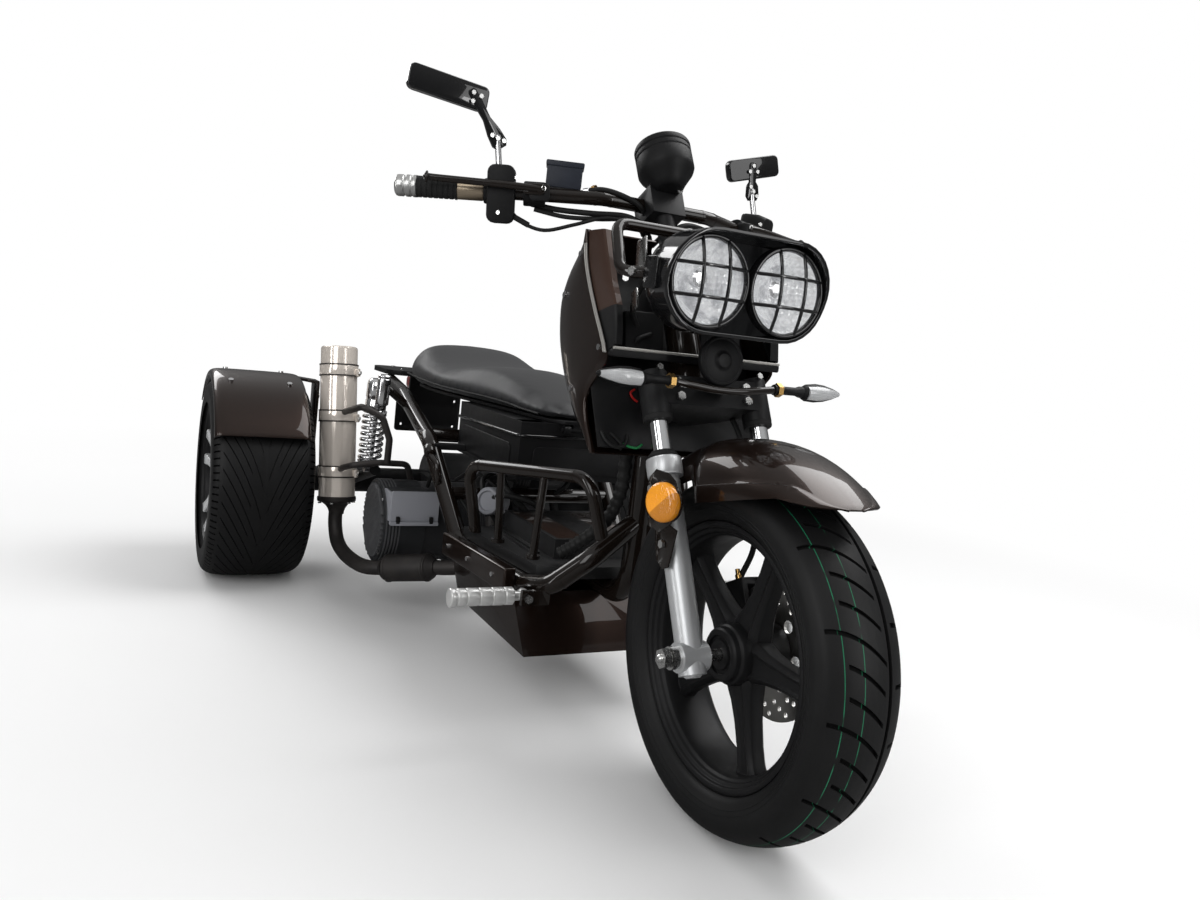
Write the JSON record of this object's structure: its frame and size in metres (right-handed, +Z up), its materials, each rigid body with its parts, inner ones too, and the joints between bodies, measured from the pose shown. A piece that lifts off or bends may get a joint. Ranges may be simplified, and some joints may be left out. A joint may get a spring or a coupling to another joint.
{
  "type": "motor trike",
  "caption": "Low motor trike with a single steered front wheel, twin wide rear wheels, open engine, saddle seat over a storage box, leg shield and barred twin headlamps.",
  "frame": {"origin": "on the ground under the middle of the trike's box, midway along and across it", "axes": "+Z up, the trike faces -Y, +X towards the rider's left"},
  "size_m": [1.161, 1.79, 1.0141],
  "materials": {
    "frame_black": "gloss",
    "body_paint": "gloss",
    "black_plastic": "satin",
    "gloss_black": "gloss",
    "lamp_glass": "gloss",
    "loom": "matte",
    "grip_rubber": "matte",
    "engine_cast": "satin",
    "exhaust_steel": "satin",
    "polished_steel": "gloss",
    "crown_black": "satin",
    "fork_alloy": "satin",
    "chain_steel": "satin",
    "disc_steel": "satin",
    "red_lens": "gloss",
    "seat_vinyl": "matte",
    "tyre": "matte",
    "rim_black": "satin",
    "rim_machined": "satin"
  },
  "bodies": {
    "chassis": {"frame_head": "frame_black", "frame_right": "frame_black", "frame_left": "frame_black", "leg_shield": "body_paint", "shield_liner": "black_plastic", "lamp_surround": "gloss_black", "headlamps": "lamp_glass", "floor_deck": "black_plastic", "sills": "body_paint", "belly_pan": "body_paint", "guard_hoops": "frame_black", "wiring_loom": "loom", "engine_case": "engine_cast", "engine_shroud": "black_plastic", "engine_barrel": "engine_cast", "exhaust_pipe": "exhaust_steel", "silencer": "polished_steel", "storage_box": "black_plastic", "rear_carrier": "crown_black", "rear_dampers": "polished_steel", "drive_chain": "chain_steel", "rear_guards": "body_paint", "tail_unit": "black_plastic", "tail_lamp": "red_lens"},
    "steering": {"fork_crown": "crown_black", "fork_legs": "fork_alloy", "front_axle": "fork_alloy", "front_guard": "body_paint", "front_reflectors": "black_plastic", "handlebar": "frame_black", "grips": "grip_rubber", "bar_controls": "black_plastic", "gauge": "black_plastic", "mirrors": "black_plastic", "front_signals": "black_plastic", "brake_caliper": "crown_black", "brake_hose": "loom"},
    "front_wheel": {"front_tyre": "tyre", "front_rim": "rim_black", "front_disc": "disc_steel"},
    "rear_wheel_right": {"rear_tyre_right": "tyre", "rear_rim_right": "rim_machined"},
    "rear_wheel_left": {"rear_tyre_left": "tyre", "rear_rim_left": "rim_machined"},
    "seat_lid": {"seat": "seat_vinyl", "seat_base": "black_plastic"},
    "foot_peg_right": {"peg_right": "fork_alloy"},
    "foot_peg_left": {"peg_left": "fork_alloy"}
  },
  "joints": [
    {"name": "steering", "type": "hinge", "parent": "chassis", "child": "steering", "pos_m": [0, -0.43135, 0.6], "axis": [0, 0.4587, 0.8886], "range_deg": [-28, 28]},
    {"name": "front_wheel", "type": "hinge", "parent": "steering", "child": "front_wheel", "pos_m": [0, -0.655, 0.243], "axis": [1, 0, 0], "continuous": true},
    {"name": "rear_wheel_right", "type": "hinge", "parent": "chassis", "child": "rear_wheel_right", "pos_m": [-0.473, 0.655, 0.229], "axis": [1, 0, 0], "continuous": true},
    {"name": "rear_wheel_left", "type": "hinge", "parent": "chassis", "child": "rear_wheel_left", "pos_m": [0.473, 0.655, 0.229], "axis": [1, 0, 0], "continuous": true},
    {"name": "seat", "type": "hinge", "parent": "chassis", "child": "seat_lid", "pos_m": [0, -0.1045, 0.467], "axis": [1, 0, 0], "range_deg": [0, 65]},
    {"name": "peg_right", "type": "hinge", "parent": "chassis", "child": "foot_peg_right", "pos_m": [-0.176, -0.304, 0.222], "axis": [0, 1, 0], "range_deg": [0, 60]},
    {"name": "peg_left", "type": "hinge", "parent": "chassis", "child": "foot_peg_left", "pos_m": [0.176, -0.304, 0.222], "axis": [0, -1, 0], "range_deg": [0, 60]}
  ]
}
